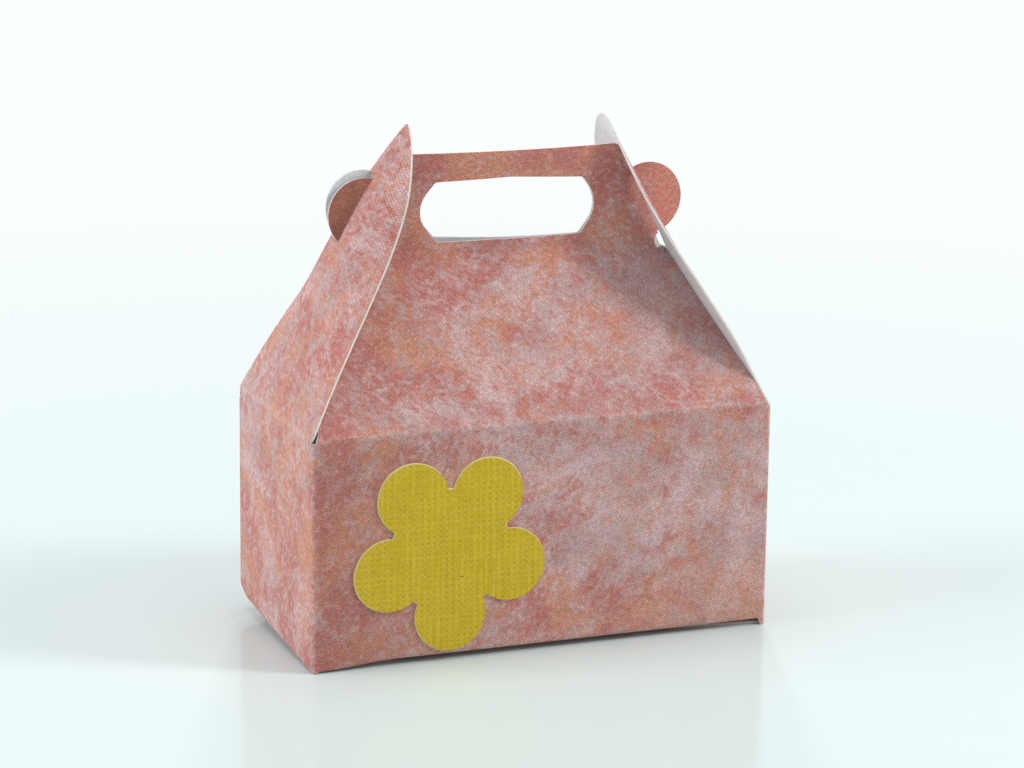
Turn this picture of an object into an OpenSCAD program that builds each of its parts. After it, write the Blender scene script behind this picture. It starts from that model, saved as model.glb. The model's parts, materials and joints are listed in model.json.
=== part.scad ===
// A small gable box of printed card. One folded sheet makes the walls, the bottom, the
// sloping roof and the two handle panels. Two pointed end flaps close over the roof and
// hook onto round ears that stick out of the handle. A card flower is glued to the front.
// +Z is up, the front looks along -Y, and the origin is the middle of the footprint.

/* [Box] */
// Width across the front
box_w = 50; // [44:0.5:70]
// Depth from front to back
box_d = 24; // [22:0.5:32]
// Height of the walls, up to the roof folds
wall_h = 24; // [23:0.5:36]
// Thickness of the card
card_t = 0.3; // [0.2:0.02:0.4]
// Outside radius of the four upright folds
fold_r = 0.5; // [0.45:0.05:1]

/* [Bottom and seam] */
// Length of the two long bottom flaps, front to back
bottom_len = 18; // [12:0.5:20]
// Length of the two short bottom flaps, which lie lowest
foot_len = 10; // [6:0.5:16]
// How much each bottom flap narrows on each side
bottom_taper = 1.5; // [0.5:0.1:3]
// Play between a bottom flap and the walls beside it
bottom_play = 0.3; // [0.1:0.05:0.6]
// Width of the glued seam tab inside the left end
seam_w = 6; // [3:0.5:9]
// Space left above and below the seam tab
seam_space = 2; // [1.5:0.5:6]

/* [Roof and handle] */
// Rise of the roof from the wall folds to the handle
roof_rise = 15.3; // [12:0.1:20]
// Height of the handle above the roof
handle_h = 10.5; // [9.5:0.1:14]
// Radius of the soft bend from roof to handle
bend_r = 3; // [1:0.5:4]
// Gap between the two handle panels
handle_gap = 0.8; // [0.4:0.1:2]
// Radius of the handle's upper corners
handle_corner_r = 0.8; // [0.3:0.1:2]
// Room, across the box, between the roof's cut edges and the end flaps
edge_room = 0.6; // [0.5:0.05:1.2]

/* [Hand hole] */
// Width of the hole between its side points, before they are rounded
hole_w = 20.2; // [18.5:0.1:21]
// Width of the hole along its lower edge
hole_bottom_w = 15.6; // [12:0.1:16.5]
// Width of the hole along its upper edge
hole_top_w = 16.2; // [12:0.1:16.5]
// Height of the hole at its upper corners
hole_h = 5.9; // [5:0.1:6.5]
// Extra height of the hole in its middle
hole_peak = 0.5; // [0:0.1:0.8]
// Height of the side points above the lower edge
hole_side_z = 3.1; // [2:0.1:3.5]
// Height of the lower edge above the roof's top
hole_rise = 1.4; // [1:0.05:1.6]
// Radius of the hole's side points
hole_side_r = 3; // [0.5:0.1:3.2]
// Radius of the hole's four corners
hole_corner_r = 0.5; // [0.2:0.1:0.8]

/* [Ears] */
// Radius of the round ears
ear_r = 3.75; // [2.5:0.05:4]
// Height of an ear's middle above the roof's top
ear_rise = 4.6; // [4.4:0.1:5.2]
// How far an ear's middle lies outside its flap
ear_out = 0.5; // [0:0.1:1]
// Radius of the hooked notch under each ear
notch_r = 1; // [0.6:0.1:1.3]

/* [End flaps] */
// Lean of the closed flaps in from upright
flap_lean = 26; // [20:0.5:30]
// How far a flap reaches past its slot
flap_beyond = 6.1; // [4:0.1:9]
// Width that a flap is short of the box depth
flap_short = 0.2; // [0.1:0.05:1]
// Length of the pointed nose
flap_nose_len = 7.1; // [5:0.1:8]
// Width where the nose starts
flap_shoulder_w = 10.4; // [8:0.1:14]
// Width of the blunt tip
flap_tip_w = 0.6; // [0.4:0.1:2]
// Bulge of the long side edges
flap_side_bulge = 0.5; // [0:0.05:1]
// Bulge of the nose's edges
flap_nose_bulge = 0.75; // [0.3:0.05:1]
// How far the side edges curl in at most
flap_curl = 1.5; // [0:0.1:1.8]
// Play around the ears in the slot
slot_play = 0.25; // [0.15:0.05:0.5]
// Running room under the flap at its fold
fold_play = 0.05; // [0.03:0.01:0.1]

/* [Flower] */
// Distance of a petal's middle from the flower's middle
petal_at = 6.8; // [5:0.1:7]
// Radius of a petal
petal_r = 3.8; // [3:0.1:4]
// Radius of the flower's round core
core_r = 6.4; // [4.5:0.05:6.5]
// Thickness of the flower
flower_t = 0.3; // [0.2:0.05:0.6]
// Distance of the flower's middle to the left of the box's middle
flower_left = 10.4; // [0:0.1:11]
// Distance of the flower's middle below the middle of the wall
flower_drop = 0.4; // [0:0.1:0.6]

/* [Hidden] */
$fn = 48;

card_pink = "#c98478";
flower_yellow = "#d2b23c";

// Steps along a rounded corner, along the roof bend, and up and across an end flap
corner_steps = 5;
bend_steps = 6;
flap_steps_up = 16;
flap_steps_across = 8;
// The curl of a flap starts slowly at the fold: its growth is this power of the height
curl_power = 1.3;
// Overlap that lets a cut pass clean through the card
through = 2;
// Share of the notch's radius by which it lies under the ear
notch_under = 0.9;

// The fold that an end flap turns on, in the middle of the end wall's card
hinge_x = box_w / 2 - card_t / 2;
hinge_z = wall_h - card_t / 2;
end_wall_top = hinge_z - card_t / 2 - fold_play;

// The front panel's bottom flap lies on the back panel's, which lies on the short flaps
back_bottom_z = card_t;
front_bottom_z = 2 * card_t;

// Roof slope, and the straight length that the soft bend takes from it
handle_y = handle_gap / 2 + card_t;
roof_top_z = wall_h + roof_rise;
handle_top_z = roof_top_z + handle_h;
roof_angle = atan2(roof_rise, box_d / 2 - handle_y);
bend_len = bend_r * tan((90 - roof_angle) / 2);
roof_start_z = end_wall_top - card_t;

// Ear middle, and where that falls along the flap
ear_z = roof_top_z + ear_rise;
ear_along = (ear_z - hinge_z - ear_out * sin(flap_lean)) / cos(flap_lean);
ear_x = hinge_x - ear_along * sin(flap_lean) + ear_out * cos(flap_lean);
ear_reach = sqrt(ear_along * ear_along + ear_out * ear_out);
notch_z = ear_z - ear_r - notch_under * notch_r;

slot_low = ear_reach - ear_r - slot_play;
slot_high = ear_reach + ear_r + slot_play;
slot_w = 2 * (handle_y + slot_play);
flap_len = slot_high + flap_beyond;
flap_base_w = box_d - flap_short;
flap_shoulder = flap_len - flap_nose_len;

flower_z = wall_h / 2 - flower_drop;

function unit(v) = v / norm(v);

// The arc of radius r that rounds the corner at p between the points before and after it
function corner_arc(before, p, after, r) =
    let (
        u = unit(before - p),
        v = unit(after - p),
        half = acos(u * v) / 2,
        turn = 180 - 2 * half,
        centre = p + unit(u + v) * r / sin(half),
        from = unit(p + u * r / tan(half) - centre),
        to = unit(p + v * r / tan(half) - centre)
    )
    [
        for (k = [0 : corner_steps])
            let (a = turn * k / corner_steps)
            centre + r * (sin(turn - a) * from + sin(a) * to) / sin(turn)
    ];

// A closed outline with the corner at point i rounded to the radius r[i]
function rounded(p, r) =
    let (count = len(p))
    [
        for (i = [0 : count - 1])
            each corner_arc(p[(i + count - 1) % count], p[i], p[(i + 1) % count], r[i])
    ];

// Distance from the box's middle to the cut edge of a roof or handle panel at height z
function panel_edge_x(z) =
    hinge_x - (z - hinge_z) * tan(flap_lean) - card_t / 2 / cos(flap_lean) - edge_room;

// Section of the front roof and handle, at a depth d into the card from its printed face
function panel_path(d) = concat(
    [
        [-box_d / 2 + d, roof_start_z],
        [-box_d / 2 + d, wall_h - d * tan((90 - roof_angle) / 2)]
    ],
    [
        for (k = [0 : bend_steps])
            let (a = roof_angle + (90 - roof_angle) * k / bend_steps)
            [-handle_y - bend_r + (bend_r + d) * sin(a), roof_top_z + bend_len - (bend_r + d) * cos(a)]
    ],
    [[-handle_y + d, handle_top_z]]
);

function backwards(list) = [for (i = [len(list) - 1 : -1 : 0]) list[i]];

// Half width of an end flap at a distance s up from its fold
function flap_half_w(s) =
    let (u = s / flap_shoulder, v = (s - flap_shoulder) / flap_nose_len)
    s <= flap_shoulder
        ? (flap_base_w * (1 - u) + flap_shoulder_w * u) / 2 + 4 * flap_side_bulge * u * (1 - u)
        : (flap_shoulder_w * (1 - v) + flap_tip_w * v) / 2 + 4 * flap_nose_bulge * v * (1 - v);

// How far a flap's side edges curl in at a distance s up from its fold
function flap_edge_curl(s) = flap_curl * sin(180 * pow(s / flap_len, curl_power));

// Point on the right flap: s up, v across from -1 to 1, n out from the middle of the card
function flap_point(s, v, n) =
    let (out = n - flap_edge_curl(s) * v * v)
    [
        hinge_x - s * sin(flap_lean) + out * cos(flap_lean),
        v * flap_half_w(s),
        hinge_z + s * cos(flap_lean) + out * sin(flap_lean)
    ];

// Number of a flap's grid point: row i up, column j across, side 0 outside or 1 inside
function grid_at(i, j, side) = (side * (flap_steps_up + 1) + i) * (flap_steps_across + 1) + j;

function two_triangles(a, b, c, d) = [[a, b, c], [a, c, d]];

module rounded_rectangle(w, d, r) {
    square([w - 2 * r, d], center = true);
    square([w, d - 2 * r], center = true);
    for (x = [-1, 1], y = [-1, 1])
        translate([x * (w / 2 - r), y * (d / 2 - r)]) circle(r);
}

// The four walls, folded into a ring
module walls() {
    linear_extrude(end_wall_top)
        difference() {
            rounded_rectangle(box_w, box_d, fold_r);
            rounded_rectangle(box_w - 2 * card_t, box_d - 2 * card_t, fold_r - card_t);
        }
}

// Room under the lower fold of the front wall (side -1) or the back wall (side 1)
module under_wall(side, z) {
    translate([0, side * (box_d / 2), z / 2 - through / 2])
        cube([box_w - 2 * fold_r, 3 * card_t, z + through], center = true);
}

// A flat bottom flap that starts in its wall at y = 0 and runs along +Y
module bottom_flap(w, len) {
    half = w / 2 - card_t - bottom_play;
    linear_extrude(card_t)
        polygon([[-half, 0], [half, 0], [half - bottom_taper, len], [bottom_taper - half, len]]);
}

module bottom() {
    for (side = [-1, 1])
        rotate(side * 90)
            translate([0, -box_w / 2 + card_t / 2, 0]) bottom_flap(box_d, foot_len);
    translate([0, box_d / 2 - card_t / 2, back_bottom_z])
        rotate(180) bottom_flap(box_w, bottom_len);
    translate([0, -box_d / 2 + card_t / 2, front_bottom_z]) bottom_flap(box_w, bottom_len);
}

// The tab of the back wall that is glued inside the left end wall
module seam_tab() {
    translate([-box_w / 2 + card_t, box_d / 2 - card_t - seam_w, front_bottom_z + seam_space])
        cube([card_t, seam_w + card_t / 2, end_wall_top - front_bottom_z - 2 * seam_space]);
}

module hand_hole() {
    z = roof_top_z + hole_rise;
    half_outline = [
        [hole_bottom_w / 2, z],
        [hole_w / 2, z + hole_side_z],
        [hole_top_w / 2, z + hole_h]
    ];
    peak = [[0, z + hole_h + hole_peak]];
    radii = [hole_corner_r, hole_side_r, hole_corner_r];
    polygon(rounded(
        concat(half_outline, peak, [for (p = backwards(half_outline)) [-p.x, p.y]]),
        concat(radii, [hole_side_r], radii)
    ));
}

// Front view of a roof and handle panel, with its ears, hooked notches and hand hole
module panel_outline() {
    low = panel_edge_x(wall_h);
    high = panel_edge_x(handle_top_z);
    right = [[low, roof_start_z], [low, wall_h], [high, handle_top_z]];
    left = [for (p = backwards(right)) [-p.x, p.y]];
    difference() {
        union() {
            polygon(concat(
                [right[0], right[1]],
                corner_arc(right[1], right[2], left[0], handle_corner_r),
                corner_arc(right[2], left[0], left[1], handle_corner_r),
                [left[1], left[2]]
            ));
            for (side = [-1, 1]) translate([side * ear_x, ear_z]) circle(ear_r);
        }
        for (side = [-1, 1])
            translate([side * (panel_edge_x(notch_z) + edge_room / 2), notch_z]) circle(notch_r);
        hand_hole();
    }
}

// The roof and handle panel that carries on up from the front wall
module front_panel() {
    intersection() {
        rotate([90, 0, 90])
            linear_extrude(box_w, center = true)
                polygon(concat(panel_path(0), backwards(panel_path(card_t))));
        rotate([90, 0, 0]) linear_extrude(2 * box_d, center = true) panel_outline();
    }
}

module box_sheet() {
    color(card_pink) {
        difference() {
            walls();
            under_wall(-1, front_bottom_z);
            under_wall(1, back_bottom_z);
        }
        bottom();
        seam_tab();
        front_panel();
        mirror([0, 1, 0]) front_panel();
    }
}

// The right end flap: a pointed sheet with curled side edges, slotted for the ears
module end_flap() {
    points = [
        for (side = [0, 1], i = [0 : flap_steps_up], j = [0 : flap_steps_across])
            flap_point(
                flap_len * i / flap_steps_up,
                2 * j / flap_steps_across - 1,
                card_t * (0.5 - side)
            )
    ];
    top = flap_steps_up;
    back = flap_steps_across;
    rows = [0 : flap_steps_up - 1];
    columns = [0 : flap_steps_across - 1];
    faces = concat(
        [for (i = rows, j = columns) each two_triangles(
            grid_at(i, j, 0), grid_at(i + 1, j, 0), grid_at(i + 1, j + 1, 0), grid_at(i, j + 1, 0))],
        [for (i = rows, j = columns) each two_triangles(
            grid_at(i, j, 1), grid_at(i, j + 1, 1), grid_at(i + 1, j + 1, 1), grid_at(i + 1, j, 1))],
        [for (i = rows) each two_triangles(
            grid_at(i, 0, 1), grid_at(i + 1, 0, 1), grid_at(i + 1, 0, 0), grid_at(i, 0, 0))],
        [for (i = rows) each two_triangles(
            grid_at(i, back, 0), grid_at(i + 1, back, 0), grid_at(i + 1, back, 1), grid_at(i, back, 1))],
        [for (j = columns) each two_triangles(
            grid_at(0, j + 1, 0), grid_at(0, j + 1, 1), grid_at(0, j, 1), grid_at(0, j, 0))],
        [for (j = columns) each two_triangles(
            grid_at(top, j, 0), grid_at(top, j, 1), grid_at(top, j + 1, 1), grid_at(top, j + 1, 0))]
    );
    difference() {
        polyhedron(points, faces);
        translate([hinge_x, 0, hinge_z])
            rotate([0, -flap_lean, 0])
                translate([-through / 2, -slot_w / 2, slot_low])
                    cube([through, slot_w, slot_high - slot_low]);
    }
}

module left_end_flap() {
    color(card_pink) mirror([1, 0, 0]) end_flap();
}

module right_end_flap() {
    color(card_pink) end_flap();
}

module flower() {
    color(flower_yellow)
        translate([-flower_left, -box_d / 2, flower_z])
            rotate([90, 0, 0])
                linear_extrude(flower_t) {
                    circle(core_r);
                    for (k = [0 : 4])
                        rotate(72 * k - 90) translate([petal_at, 0]) circle(petal_r);
                }
}

box_sheet();
left_end_flap();
right_end_flap();
flower();
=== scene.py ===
# %% [markdown]
# # A gable box of printed card
#
# The object is a small box folded from one sheet of printed card, with a carrying handle on top, two
# pointed end flaps that hook over round ears, and a yellow flower glued to the front. The CAD model already
# fixes the main sizes and the two folds that move. This lesson builds the card itself: thin, printed outside,
# white inside and along its cuts. Sizes are in millimetres, as they would be marked on the flat sheet, and
# turn into metres where Blender takes them.

# %% Load the frame
import json
import bpy
import numpy as np
from mathutils import Matrix, Vector
from mathutils.geometry import delaunay_2d_cdt


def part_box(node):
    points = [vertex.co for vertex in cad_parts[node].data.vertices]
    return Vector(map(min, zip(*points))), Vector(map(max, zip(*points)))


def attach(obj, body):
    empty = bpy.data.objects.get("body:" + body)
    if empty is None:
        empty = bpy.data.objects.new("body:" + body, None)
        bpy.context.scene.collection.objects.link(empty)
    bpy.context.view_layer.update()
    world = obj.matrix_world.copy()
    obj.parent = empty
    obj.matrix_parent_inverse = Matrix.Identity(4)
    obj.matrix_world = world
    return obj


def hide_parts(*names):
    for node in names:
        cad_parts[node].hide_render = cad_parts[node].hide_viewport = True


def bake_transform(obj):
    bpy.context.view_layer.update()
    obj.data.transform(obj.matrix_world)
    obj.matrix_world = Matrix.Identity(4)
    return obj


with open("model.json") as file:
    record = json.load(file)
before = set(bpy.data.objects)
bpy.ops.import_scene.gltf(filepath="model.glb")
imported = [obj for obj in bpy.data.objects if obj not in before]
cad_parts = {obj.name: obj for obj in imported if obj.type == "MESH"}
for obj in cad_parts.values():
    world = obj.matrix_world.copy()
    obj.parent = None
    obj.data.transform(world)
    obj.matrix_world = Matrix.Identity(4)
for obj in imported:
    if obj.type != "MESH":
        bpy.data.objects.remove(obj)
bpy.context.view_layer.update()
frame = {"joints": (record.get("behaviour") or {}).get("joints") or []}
MM = 0.001


def in_mm(corner):
    """A point of the frame in millimetres, to a hundredth."""
    return [round(c / MM, 2) for c in corner]


# %% [markdown]
# ## The camera
#
# The camera could be placed by eye. Here five corners of the box were measured in the picture and the
# camera was solved from them, so its place, its turn and its long lens are numbers. A camera's own axes are
# right, up and back, so the three of them side by side are its rotation.

# %% Camera
image_w, focal_px, sensor_w = 1024, 3376.7, 36.0
camera_place = Vector((-126.473, -315.471, 107.448)) * MM
turn, tilt, roll = np.radians([-21.983, 13.62, 0.764])
back = np.array([np.sin(turn) * np.cos(tilt), -np.cos(turn) * np.cos(tilt), np.sin(tilt)])
level = np.array([np.cos(turn), np.sin(turn), 0.0])
rise = np.cross(back, level)
right = level * np.cos(roll) + rise * np.sin(roll)
up = rise * np.cos(roll) - level * np.sin(roll)

camera_data = bpy.data.cameras.new("camera")
camera_data.sensor_fit, camera_data.sensor_width = "HORIZONTAL", sensor_w
camera_data.lens = focal_px * sensor_w / image_w
camera_data.clip_start, camera_data.clip_end = 0.01, 20.0
camera = bpy.data.objects.new("camera", camera_data)
bpy.context.scene.collection.objects.link(camera)
rotation = Matrix(np.column_stack([right, up, back]).tolist()).to_4x4()
camera.matrix_world = Matrix.Translation(camera_place) @ rotation
bpy.context.scene.camera = camera
print("lens in mm:", round(camera_data.lens, 1))

# %% [markdown]
# ## Writing materials as sums
#
# A material is a net of nodes. Wiring it by hand hides the idea behind it, so a small class stands for one
# wire: adding or multiplying wires adds the Math node that does it, and `node` adds any other kind.

# %% Wires
class Wire:
    """One output socket. Sums and products of wires and numbers add Math nodes."""

    def __init__(self, tree, socket=None):
        self.tree, self.socket = tree, socket

    def node(self, kind, settings=(), inputs=(), out=0):
        """A new node: its settings come first, then a number or a wire for each socket named."""
        made = self.tree.nodes.new(kind)
        for name, value in dict(settings).items():
            setattr(made, name, value)
        for name, value in dict(inputs).items():
            if isinstance(value, Wire):
                self.tree.links.new(value.socket, made.inputs[name])
            else:
                made.inputs[name].default_value = value
        return Wire(self.tree, made.outputs[out]) if len(made.outputs) else None

    def other(self, out):
        """Another output of the node that this wire comes from."""
        return Wire(self.tree, self.socket.node.outputs[out])

    def math(self, operation, *values):
        """One Math node."""
        return self.node("ShaderNodeMath", {"operation": operation}, enumerate(values))

    def __add__(self, other):
        return self.math("ADD", self, other)

    def __radd__(self, other):
        return self.math("ADD", other, self)

    def __sub__(self, other):
        return self.math("SUBTRACT", self, other)

    def __rsub__(self, other):
        return self.math("SUBTRACT", other, self)

    def __mul__(self, other):
        return self.math("MULTIPLY", self, other)

    def __rmul__(self, other):
        return self.math("MULTIPLY", other, self)

    def __neg__(self):
        return 0.0 - self

    def __abs__(self):
        return self.math("ABSOLUTE", self)

    def ramp(self, low, high):
        """0 at low, 1 at high, and a smooth step between them."""
        return self.node("ShaderNodeMapRange", {"interpolation_type": "SMOOTHSTEP"},
                         {"Value": self, "From Min": low, "From Max": high})

    def mix(self, share, first, second, how="MIX"):
        """A colour: first where share is 0, second where it is 1."""
        factor, colour_a, colour_b, result = 0, 6, 7, 2
        first, second = [c if isinstance(c, Wire) else (*c, 1.0) for c in (first, second)]
        return self.node("ShaderNodeMix", {"data_type": "RGBA", "blend_type": how},
                         {factor: share, colour_a: first, colour_b: second}, result)

    def noise(self, place, size, detail=2.0, stretch=(1, 1, 1), angle=0.0, shift=0.0, twist=0.0):
        """Cloudy values about 0.5, with blobs of about the given size in the units of place."""
        turned = (0.0, 0.0, float(np.radians(angle)))
        laid = self.node("ShaderNodeMapping", {"vector_type": "TEXTURE"}, {
            "Vector": place, "Location": (shift,) * 3, "Rotation": turned, "Scale": stretch})
        return self.node("ShaderNodeTexNoise", {}, {
            "Vector": laid, "Scale": 1.0 / size, "Detail": detail, "Distortion": twist})


def new_finish(name):
    """An empty material and the first wire of its node tree."""
    finish = bpy.data.materials.new(name)
    finish.use_nodes = True
    finish.node_tree.nodes.clear()
    return finish, Wire(finish.node_tree)


print("a wire can:", [name for name in vars(Wire) if not name.startswith("__")])

# %% [markdown]
# ## The printed side of the card
#
# The sheet is printed with a mottled wash: coral, salmon and orange clouds on a greyish pink, with short
# strokes like felt and a fine dot screen. A picture of it could be pasted on, but then it would carry one
# photograph's light. Noise in layers gives the same kind of print, and a few broad soft fields say where it
# is paler, warmer or deeper. Some fields also paint light and shade into the colour: painted shade on the
# front's lower left and the left ear, painted shade of the right flap on the roof's right, and painted light
# on the right ear. All of it reads an attribute called blank, the place on the flat sheet in millimetres, so
# the wash runs on unbroken over every fold, as it does on a sheet that is printed first.

# %% Fields of the wash
sheet_low, sheet_high = [in_mm(corner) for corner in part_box("box_sheet")]
box_w, box_d = sheet_high[0] - sheet_low[0], sheet_high[1] - sheet_low[1]
half_w, half_d = box_w / 2, box_d / 2


def wash_fields(u, v):
    """Soft fields from 0 to 1, each a product of smooth steps across (u) and up (v) the sheet."""
    left, front = -u, 1.0 - abs(u).ramp(half_w - 1.0, half_w)
    wall = 1.0 - v.ramp(21.0, 25.0)
    roof = v.ramp(25.0, 29.0) * (1.0 - v.ramp(40.0, 45.0)) * front
    wall_middle = v.ramp(3.0, 9.0) * (1.0 - v.ramp(19.0, 24.0)) * front
    return {
        "upper": v.ramp(36.0, 48.0) * front,
        "low_left": left.ramp(2.0, 20.0) * wall * front,
        "left_ear": left.ramp(14.0, 17.0) * v.ramp(40.0, 44.0) * front,
        "right_ear": u.ramp(15.0, 17.0) * v.ramp(42.0, 44.0) * front,
        "roof_left": left.ramp(3.0, 12.0) * roof,
        "roof_right": u.ramp(4.0, 14.0) * roof,
        "wall_right": u.ramp(-4.0, 6.0) * wall_middle,
        "low_right": u.ramp(8.0, 20.0) * (1.0 - v.ramp(2.0, 11.0)) * front,
        "calm": u.ramp(-6.0, 8.0) * wall * front,
        "left_flap": left.ramp(28.0, 33.0) * (1.0 - left.ramp(42.0, 46.0)) * v.ramp(34.0, 40.0)}


print("box is", box_w, "by", box_d, "mm, and the front is printed from", -half_w, "to", half_w)

# %% Wash
greyed_pink, pale_pink = (0.53, 0.36, 0.355), (0.66, 0.455, 0.455)
coral, salmon = (0.53, 0.19, 0.155), (0.62, 0.27, 0.18)
# Of these, the dull lilac, the brown and the bright coral are partly print and partly painted shade and
# light.
lilac_white, lilac_and_shade = (0.72, 0.53, 0.54), (0.40, 0.28, 0.29)
brown_and_shade, coral_and_backlight, peach = (0.27, 0.10, 0.07), (0.80, 0.33, 0.26), (0.66, 0.36, 0.26)


def felt_strokes(wire, blank, v):
    """Short strokes, upright on the wall and flatter above it: one noise fades into another at the fold."""
    below = wire.noise(blank, 0.55, stretch=(0.75, 1.3, 1.0), angle=-24.0, shift=5.0, twist=0.3)
    above = wire.noise(blank, 0.55, stretch=(1.3, 0.75, 1.0), angle=-36.0, shift=9.0, twist=0.3)
    return below + (above - below) * v.ramp(21.0, 27.0)


def wash_colour(wire, blank, strokes, fields):
    """Pink ground where a sum of noises is low, coral ink where it is high; the fields push and tint it, and
    paint shade and light.
    """
    broad = wire.noise(blank, 24.0, detail=1.0, shift=27.0)
    clouds = wire.noise(blank, 6.0, detail=3.0, shift=3.0)
    clumps = wire.noise(blank, 1.8, stretch=(0.9, 1.15, 1.0), angle=-20.0, shift=11.0, twist=0.2)
    warmth = broad * 0.6 + clouds * 0.8 + clumps + 0.45 + (strokes - 0.5) * (0.9 - fields["calm"] * 0.4)
    warmer = {"upper": 0.2, "low_left": 0.1, "left_ear": 0.3, "right_ear": 0.18, "roof_left": 0.13,
              "roof_right": -0.18, "wall_right": -0.126, "left_flap": -0.12}
    for name, amount in warmer.items():
        warmth = warmth + fields[name] * amount
    ground = wire.mix(wire.noise(blank, 5.0, shift=23.0).ramp(0.36, 0.64), greyed_pink, pale_pink)
    orange = wire.noise(blank, 6.0, shift=41.0) + fields["low_right"] * 0.12
    ink = wire.mix(orange.ramp(0.42, 0.62), coral, salmon)
    fleck = wire.noise(blank, 0.7, stretch=(1.3, 0.8, 1.0), shift=61.0, twist=0.2).ramp(0.54, 0.70)
    wash = wire.mix(warmth.ramp(1.34, 1.92) * 0.95, ground, ink)
    wash = wire.mix(fleck * (0.3 - fields["calm"] * 0.15), wash, lilac_white)
    wash = wire.mix(fields["low_right"] * 0.4, wash, peach)
    # Painted shade: the front's lower left and the left ear are darkened towards brown, as the front's left
    # part gets less light and the left ear lies in the left flap's shadow; the brown is partly print.
    wash = wire.mix(fields["low_left"] * 0.24 + fields["left_ear"] * 0.6, wash, brown_and_shade)
    # Painted shade: the roof's right is darkened towards a dull lilac for the right flap's shadow, over the
    # lilac print there.
    wash = wire.mix(fields["roof_right"] * 0.3, wash, lilac_and_shade)
    # Painted light: the right ear is lifted towards a bright coral, as it is lit strongly from behind; the
    # coral is partly print.
    return wire.mix(fields["right_ear"] * 0.5, wash, coral_and_backlight)


print("wash: ground from", greyed_pink, "to", pale_pink, "and ink from", coral, "to", salmon)

# %% Dot screens
first_angle, first_gap, first_strength = 4.0, 0.37, 0.26
second_angle, second_gap, second_strength = 34.0, 0.35, 0.16


def dot_screen(wire, u, v, angle, gap):
    """cos(a) * cos(b), where a and b run along two crossed lines at an angle: the dots of one ink."""
    wave = 2 * np.pi / gap
    c, s = wave * float(np.cos(np.radians(angle))), wave * float(np.sin(np.radians(angle)))
    return wire.math("COSINE", u * c + v * s) * wire.math("COSINE", v * c - u * s)


def screened(wire, wash, blank, u, v):
    """The wash times the dots: two screens and a fine speck, and a noise that sets red against the rest."""
    first = dot_screen(wire, u, v, first_angle, first_gap) * first_strength
    screen = first + dot_screen(wire, u, v, second_angle, second_gap) * second_strength
    speck = wire.noise(blank, 0.3, detail=1.0, shift=2.0)
    hue = wire.noise(blank, 0.3, detail=1.0, shift=31.0) * 0.28
    dots = 0.56 + screen * (0.3 + speck * 1.4) + speck * 0.8
    cool = dots * (1.14 - hue)
    inks = wire.node("ShaderNodeCombineXYZ", {}, {"X": dots * (0.86 + hue), "Y": cool, "Z": cool})
    return wire.mix(1.0, wash, inks, "MULTIPLY")


print("two screens, with dots", first_gap, "and", second_gap, "mm apart")

# %% Printed finish
fold_r, roof_fold = 0.5, 23.95
near_w, near_d = half_w - fold_r, half_d - fold_r
quarter = fold_r * np.pi / 2
front_corner = round(near_w + quarter / 2, 2)
back_corner = round(near_w + 2 * near_d + quarter * 3 / 2, 2)
paper_glow = {"Subsurface Weight": 0.3, "Subsurface Radius": (1.0, 0.8, 0.7), "Subsurface Scale": 0.35 * MM}


def printed_finish():
    """Wash colour, times dot screens, paler where a fold has cracked the ink."""
    finish, wire = new_finish("printed_card_finish")
    blank = wire.node("ShaderNodeAttribute", {"attribute_name": "blank"}, out="Vector")
    u = wire.node("ShaderNodeSeparateXYZ", {}, {0: blank})
    v = u.other(1)
    strokes = felt_strokes(wire, blank, v)
    print_colour = screened(wire, wash_colour(wire, blank, strokes, wash_fields(u, v)), blank, u, v)

    corner = wire.math("MINIMUM", abs(abs(u) - front_corner), abs(abs(u) - back_corner))
    fold = wire.math("MINIMUM", corner, abs(v - roof_fold))
    cracked = (1.0 - fold.ramp(0.05, 0.45)) * wire.noise(blank, 0.5, shift=7.0).ramp(0.35, 0.75)
    colour = wire.mix(cracked * 0.4, print_colour, (0.80, 0.66, 0.62))

    tooth = wire.noise(blank, 0.16)
    bump = wire.node("ShaderNodeBump", {}, {"Strength": 0.35, "Distance": 0.02 * MM, "Height": tooth})
    shader = wire.node("ShaderNodeBsdfPrincipled", {}, {
        "Base Color": colour, "Roughness": 0.62 + strokes * 0.2, "Specular IOR Level": 0.3, "Normal": bump,
        **paper_glow})
    wire.node("ShaderNodeOutputMaterial", {}, {"Surface": shader})
    return finish


printed = printed_finish()
print("printed card:", len(printed.node_tree.nodes), "nodes, cracked along", front_corner, "and", back_corner)

# %% [markdown]
# ## The white side, and the cut edge
#
# Inside, the card is bare: a cool grey-white with faint fibres, partly its own white and partly painted
# shade, since the insides are seen in shade. A cut edge shows the core of the card, and is the thin pale line
# that makes folded card look like card. Both could be one colour, but fibres and a little speckle keep them
# from looking like plastic when the flaps stand open.

# %% White finishes
def white_finish(name, colour, dark, fibre, depth):
    """White card with fibres: a stretched noise tints the colour and lifts the surface a little."""
    finish, wire = new_finish(name)
    place = wire.node("ShaderNodeTexCoord", out="Object")
    fibres = wire.noise(place, fibre * MM, detail=3.0, stretch=(1.0, 1.0, 3.0), angle=30.0)
    flecks = wire.noise(place, 4.0 * MM)
    tint = wire.mix((fibres * 0.7 + flecks * 0.3).ramp(0.3, 0.7), dark, colour)
    bump = wire.node("ShaderNodeBump", {}, {"Strength": 0.3, "Distance": depth * MM, "Height": fibres})
    shader = wire.node("ShaderNodeBsdfPrincipled", {}, {
        "Base Color": tint, "Roughness": 0.7 + fibres * 0.15, "Specular IOR Level": 0.25, "Normal": bump,
        **paper_glow})
    wire.node("ShaderNodeOutputMaterial", {}, {"Surface": shader})
    return finish


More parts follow.
